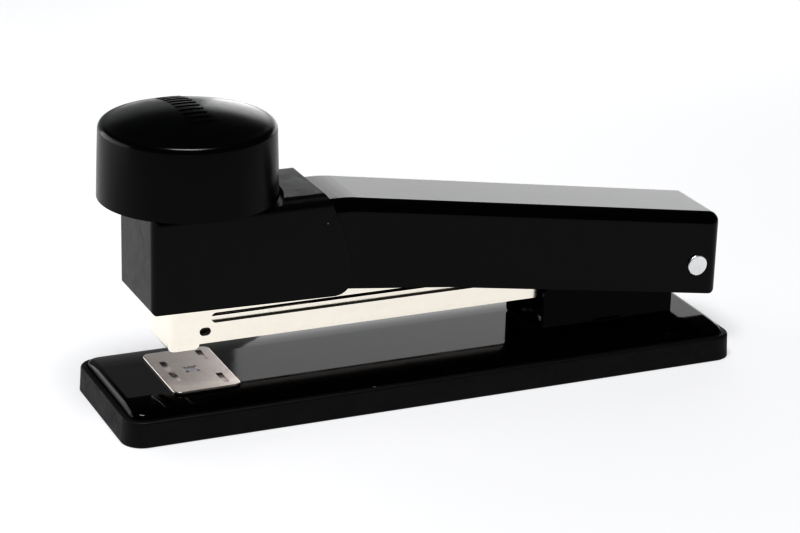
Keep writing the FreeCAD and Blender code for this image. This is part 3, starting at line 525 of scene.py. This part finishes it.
liftUser = {"turns": 5.5, "closedTurns": 1.0, "wire": 1.0 * mm, "keep": 0.74}
coil, low, high = standingCoil("liftCoil", "magazine_spring", "base", liftUser)
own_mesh(coil)
anvilCoilUser = {"turns": 3.5, "closedTurns": 0.75, "wire": 0.6 * mm, "keep": 0.48}
coil, low, high = standingCoil("anvilCoil", "anvil_spring", "base", anvilCoilUser)
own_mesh(coil)
armCoilUser = {"turns": 7.5, "closedTurns": 1.0, "wire": 0.9 * mm, "shorter": 1.1 * mm}
standingCoil("armCoil", "cover_spring", "magazine", armCoilUser)
pusherCoilUser = {"turns": 58.0, "closedTurns": 1.5, "wire": 0.5 * mm, "keep": 0.33, "steps": 12,
                  "sides": 6}
low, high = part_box("pusher_spring")
coil = nodeMadePiece("pusherCoil", coilTree, {
    "Radius": (high.z - low.z) / 2, "Wire": pusherCoilUser["wire"], "Length": high.x - low.x,
    "Turns": pusherCoilUser["turns"],
    "Closed Turns": pusherCoilUser["closedTurns"], "Steps": pusherCoilUser["steps"],
    "Sides": pusherCoilUser["sides"], "Place": (low.x, 0.0, (low.z + high.z) / 2),
    "Tilt": (0.0, math.pi / 2, 0.0), "Finish": springSteel})
finishPiece(coil, "magazine", ["pusher_spring"])
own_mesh(coil)
print("springs wound")


# the knob's shell: a turned profile with a soft rim and a low dome, a little under the frame's top
knobShellUser = {
    "flare": 0.6 * mm, "rim": 2.0 * mm, "side": 21.95 * mm, "wall": 2.2 * mm, "sink": 0.22 * mm,
    "segments": 160, "rimSteps": 8, "domeSteps": 16,
}


def knobProfile(radius, bottom, top, inset, user):
    # half of the outline, from the open bottom to the middle of the dome
    rim = user["rim"] - inset / 2
    sideTop = radius - user["flare"] - inset
    rimTop = bottom + user["side"] - inset
    domeEdge = sideTop - rim
    rise = top - inset - rimTop
    ball = (domeEdge ** 2 + rise ** 2) / (2 * rise)
    points = [(radius - inset, bottom), (sideTop + user["flare"] / 2, (bottom + rimTop) / 2)]
    for i in range(user["rimSteps"] + 1):
        angle = math.pi / 2 * i / user["rimSteps"]
        points.append((domeEdge + rim * math.cos(angle), rimTop - rim + rim * math.sin(angle)))
    for i in range(1, user["domeSteps"]):
        across = domeEdge * (1 - i / user["domeSteps"])
        points.append((across, top - inset - ball + math.sqrt(ball ** 2 - across ** 2)))
    return points, top - inset, ball


def addKnobShell(user):
    low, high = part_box("knob_cap")
    centre = ((low.x + high.x) / 2, (low.y + high.y) / 2)
    radius = (high.x - low.x) / 2
    top = high.z - user["sink"]
    outer, outerTop, ball = knobProfile(radius, low.z, top, 0.0, user)
    inner, innerTop = knobProfile(radius, low.z, top, user["wall"], user)[:2]
    rings = outer[::-1] + inner
    count = user["segments"]
    points = []
    for across, height in rings:
        for i in range(count):
            angle = math.tau * i / count
            points.append((centre[0] + across * math.cos(angle),
                           centre[1] + across * math.sin(angle), height))
    faces = []
    for ring in range(len(rings) - 1):
        for i in range(count):
            after = (i + 1) % count
            start, below = ring * count, (ring + 1) * count
            faces.append((start + i, below + i, below + after, start + after))
    points += [(*centre, outerTop), (*centre, innerTop)]
    last = (len(rings) - 1) * count
    for i in range(count):
        after = (i + 1) % count
        faces.append((i, after, len(points) - 2))
        faces.append((last + after, last + i, len(points) - 1))
    shell = bpy.data.meshes.new("knobShell")
    shell.from_pydata(points, [], faces)
    shell.shade_smooth()
    shell.materials.append(knobPlastic)
    lip = {len(outer) - 1, len(outer)}
    for edge in shell.edges:
        firstRing, secondRing = (corner // count for corner in edge.vertices)
        if firstRing == secondRing and firstRing in lip:
            edge.use_edge_sharp = True
    piece = bpy.data.objects.new("knobShell", shell)
    bpy.context.collection.objects.link(piece)
    finishPiece(piece, "arm", ["knob_cap"])
    return centre, outerTop, ball


knobCentre, knobTop, knobBall = addKnobShell(knobShellUser)


ribUser = {
    "count": 10, "pitch": 3.2 * mm, "length": 7.2 * mm, "width": 1.3 * mm,
    "middle": (0.4 * mm, 3.4 * mm), "under": 0.01 * mm,  # under the frame's top
}


# a row of low bars moulded on the dome, each following its curve
def buildRibTree():
    tree, given, result = geometryTree("knobRibs", {
        "Count": 10, "Pitch": 0.0032, "Length": 0.0072, "Width": 0.0013, "Proud": 0.0002,
        "Sunk": 0.0004,
        "Ball": 0.07, "Top": 0.09, "Middle": (0.0, 0.0, 0.0), "Centre": (0.0, 0.0, 0.0)})
    size = addNode(tree, "ShaderNodeCombineXYZ")
    thick = mathNode(tree, "ADD", given.outputs["Proud"], given.outputs["Sunk"])
    bar = addNode(tree, "GeometryNodeMeshCube", {"Vertices X": 9, "Vertices Y": 4, "Vertices Z": 2})
    join(tree, (given.outputs["Length"], size.inputs["X"]),
         (given.outputs["Width"], size.inputs["Y"]),
         (thick, size.inputs["Z"]), (size.outputs[0], bar.inputs["Size"]))
    row = addNode(tree, "GeometryNodeMeshLine")
    step = addNode(tree, "ShaderNodeCombineXYZ")
    start = addNode(tree, "ShaderNodeCombineXYZ")
    half = mathNode(tree, "MULTIPLY", mathNode(tree, "SUBTRACT", given.outputs["Count"], 1.0), -0.5)
    begin = addNode(tree, "ShaderNodeVectorMath", operation="ADD")
    join(tree, (given.outputs["Pitch"], step.inputs["Y"]),
         (given.outputs["Count"], row.inputs["Count"]),
         (step.outputs[0], row.inputs["Offset"]),
         (mathNode(tree, "MULTIPLY", half, given.outputs["Pitch"]), start.inputs["Y"]),
         (start.outputs[0], begin.inputs[0]), (given.outputs["Middle"], begin.inputs[1]),
         (begin.outputs[0], row.inputs["Start Location"]))
    copies = addNode(tree, "GeometryNodeInstanceOnPoints")
    real = addNode(tree, "GeometryNodeRealizeInstances")
    join(tree, (row.outputs[0], copies.inputs["Points"]),
         (bar.outputs["Mesh"], copies.inputs["Instance"]),
         (copies.outputs[0], real.inputs[0]))
    # each point sinks by the dome's own drop there
    place = addNode(tree, "GeometryNodeInputPosition")
    away = addNode(tree, "ShaderNodeVectorMath", operation="SUBTRACT")
    flat = addNode(tree, "ShaderNodeVectorMath", {1: (1.0, 1.0, 0.0)}, operation="MULTIPLY")
    reach = addNode(tree, "ShaderNodeVectorMath", operation="LENGTH")
    join(tree, (place.outputs[0], away.inputs[0]), (given.outputs["Centre"], away.inputs[1]),
         (away.outputs[0], flat.inputs[0]), (flat.outputs[0], reach.inputs[0]))
    square = mathNode(tree, "MULTIPLY", given.outputs["Ball"], given.outputs["Ball"])
    far = mathNode(tree, "MULTIPLY", reach.outputs["Value"], reach.outputs["Value"])
    height = mathNode(tree, "SQRT", mathNode(tree, "SUBTRACT", square, far))
    drop = mathNode(tree, "SUBTRACT", height, given.outputs["Ball"])
    uneven = mathNode(tree, "SUBTRACT", given.outputs["Proud"], given.outputs["Sunk"])
    bottomUp = mathNode(tree, "MULTIPLY", uneven, 0.5)
    raised = mathNode(tree, "ADD", mathNode(tree, "ADD", given.outputs["Top"], drop), bottomUp)
    lift = addNode(tree, "ShaderNodeCombineXYZ")
    moved = addNode(tree, "GeometryNodeSetPosition")
    join(tree, (raised, lift.inputs["Z"]), (real.outputs[0], moved.inputs["Geometry"]),
         (lift.outputs[0], moved.inputs["Offset"]))
    endTree(tree, given, result, moved.outputs[0])
    return tree


ribs = nodeMadePiece("knobRibs", buildRibTree(), {
    "Count": ribUser["count"], "Pitch": ribUser["pitch"], "Length": ribUser["length"],
    "Width": ribUser["width"], "Proud": knobShellUser["sink"] - ribUser["under"], "Ball": knobBall,
    "Top": knobTop,
    "Middle": (knobCentre[0] + ribUser["middle"][0], ribUser["middle"][1], 0.0),
    "Centre": (*knobCentre, 0.0), "Finish": knobPlastic})
finishPiece(ribs, "arm")
print("knob turned")


# one bent staple, repeated along the strip
def buildStapleTree():
    tree, given, result = geometryTree("stapleStrip",
                                       {"Count": 50, "Step": 0.00053, "Wire Wide": 0.0005,
                                        "Wire Thick": 0.0005, "Bend": 0.0006})
    path = addNode(tree, "GeometryNodeMeshToCurve")
    bent = addNode(tree, "GeometryNodeFilletCurve", {"Count": 3}, mode="POLY")
    section = addNode(tree, "GeometryNodeCurvePrimitiveQuadrilateral")
    swept = addNode(tree, "GeometryNodeCurveToMesh", {"Fill Caps": True})
    row = addNode(tree, "GeometryNodeMeshLine")
    step = addNode(tree, "ShaderNodeCombineXYZ")
    copies = addNode(tree, "GeometryNodeInstanceOnPoints")
    join(tree, (given.outputs["Geometry"], path.inputs["Mesh"]),
         (path.outputs[0], bent.inputs["Curve"]),
         (given.outputs["Bend"], bent.inputs["Radius"]),
         (given.outputs["Wire Wide"], section.inputs["Width"]),
         (given.outputs["Wire Thick"], section.inputs["Height"]),
         (bent.outputs[0], swept.inputs["Curve"]),
         (section.outputs[0], swept.inputs["Profile Curve"]),
         (given.outputs["Count"], row.inputs["Count"]),
         (given.outputs["Step"], step.inputs["X"]), (step.outputs[0], row.inputs["Offset"]),
         (row.outputs[0], copies.inputs["Points"]), (swept.outputs[0], copies.inputs["Instance"]))
    endTree(tree, given, result, copies.outputs[0])
    return tree


stapleUser = {"count": 50, "wireWide": 0.50 * mm, "wireThick": 0.46 * mm, "bend": 0.6 * mm}


def addStaples(user):
    low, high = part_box("staple_strip")
    half = (high.y - low.y) / 2 - user["wireThick"] / 2
    top = high.z - user["wireThick"] / 2
    step = (high.x - low.x) / user["count"]
    path = bpy.data.meshes.new("staplePath")
    x = low.x + step / 2
    path.from_pydata([(x, -half, low.z), (x, -half, top), (x, half, top), (x, half, low.z)],
                     [(0, 1), (1, 2), (2, 3)], [])
    piece = nodeMadePiece("stapleStrip", buildStapleTree(), {
        "Count": user["count"], "Step": step, "Wire Wide": user["wireWide"],
        "Wire Thick": user["wireThick"],
        "Bend": user["bend"], "Finish": stapleSteel}, path)
    finishPiece(piece, "magazine", ["staple_strip"])


addStaples(stapleUser)
print("staples laid")


# floor, with a pale surface that stays light for the eye and takes a soft shadow
floorUser = {"half": 4.0, "drop": 0.0002, "glow": 0.262, "colour": (0.55, 0.55, 0.56),
             "roughness": 0.8, "specular": 0.1}


def addFloor(user):
    mesh = bpy.data.meshes.new("floor")
    half = user["half"]
    mesh.from_pydata([(-half, -half, 0), (half, -half, 0), (half, half, 0), (-half, half, 0)], [],
                     [(0, 1, 2, 3)])
    material = newMaterial("floorPaper", {
        "Base Color": (*user["colour"], 1), "Roughness": user["roughness"],
        "Specular IOR Level": user["specular"],
        "Emission Color": (1, 1, 1, 1), "Emission Strength": user["glow"]})[0]
    mesh.materials.append(material)
    floor = bpy.data.objects.new("floor", mesh)
    floor.location.z = -user["drop"]
    bpy.context.collection.objects.link(floor)


addFloor(floorUser)


# lights: a softbox overhead and three upright cards, two behind the stapler
# and one at its far left
lightUser = {
    "overhead": {"place": (-0.15, -0.25, 1.1), "size": (0.50, 0.36), "watts": 6.4,
                 "aim": (0.0, 0.0, 0.0)},
    "board": {"place": (0.664, 0.50, 0.142), "size": (1.072, 0.276), "watts": 1.16,
              "aim": (0.664, 0.0, 0.142)},
    "leftBoard": {"place": (-0.111, 0.50, 0.142), "size": (0.478, 0.276), "watts": 0.13,
                  "aim": (-0.111, 0.0, 0.142)},
    "leftCard": {"place": (-0.48, 0.30, 0.15), "size": (0.60, 0.29), "watts": 0.90,
                 "aim": (-0.09, 0.0, 0.10)},
}


def addSoftLight(name, user):
    light = bpy.data.lights.new(name, "AREA")
    light.shape = "RECTANGLE"
    light.size, light.size_y = user["size"]
    light.energy = user["watts"]
    lamp = bpy.data.objects.new(name, light)
    lamp.location = user["place"]
    toward = Vector(user["aim"]) - Vector(user["place"])
    lamp.rotation_euler = toward.to_track_quat("-Z", "Y").to_euler()
    lamp.visible_camera = False
    bpy.context.collection.objects.link(lamp)


# each upright card also lights the floor behind itself, so that it leaves no edge there
for lampName, lampValues in lightUser.items():
    addSoftLight(lampName, lampValues)
    if lampName != "overhead":
        place, aim = Vector(lampValues["place"]), Vector(lampValues["aim"])
        addSoftLight(lampName + "Behind", dict(lampValues, aim=tuple(2 * place - aim)))
# dim, slightly cool room light
roomUser = {"colour": (0.9, 0.95, 1.0), "strength": 0.06}
world = bpy.data.worlds.new("room")
bpy.context.scene.world = world
world.use_nodes = True
world.node_tree.nodes["Background"].inputs["Color"].default_value = (*roomUser["colour"], 1)
world.node_tree.nodes["Background"].inputs["Strength"].default_value = roomUser["strength"]
bpy.context.scene.view_settings.view_transform = "Standard"
bpy.context.scene.view_settings.look = "Very High Contrast"
print("floor and lights placed")
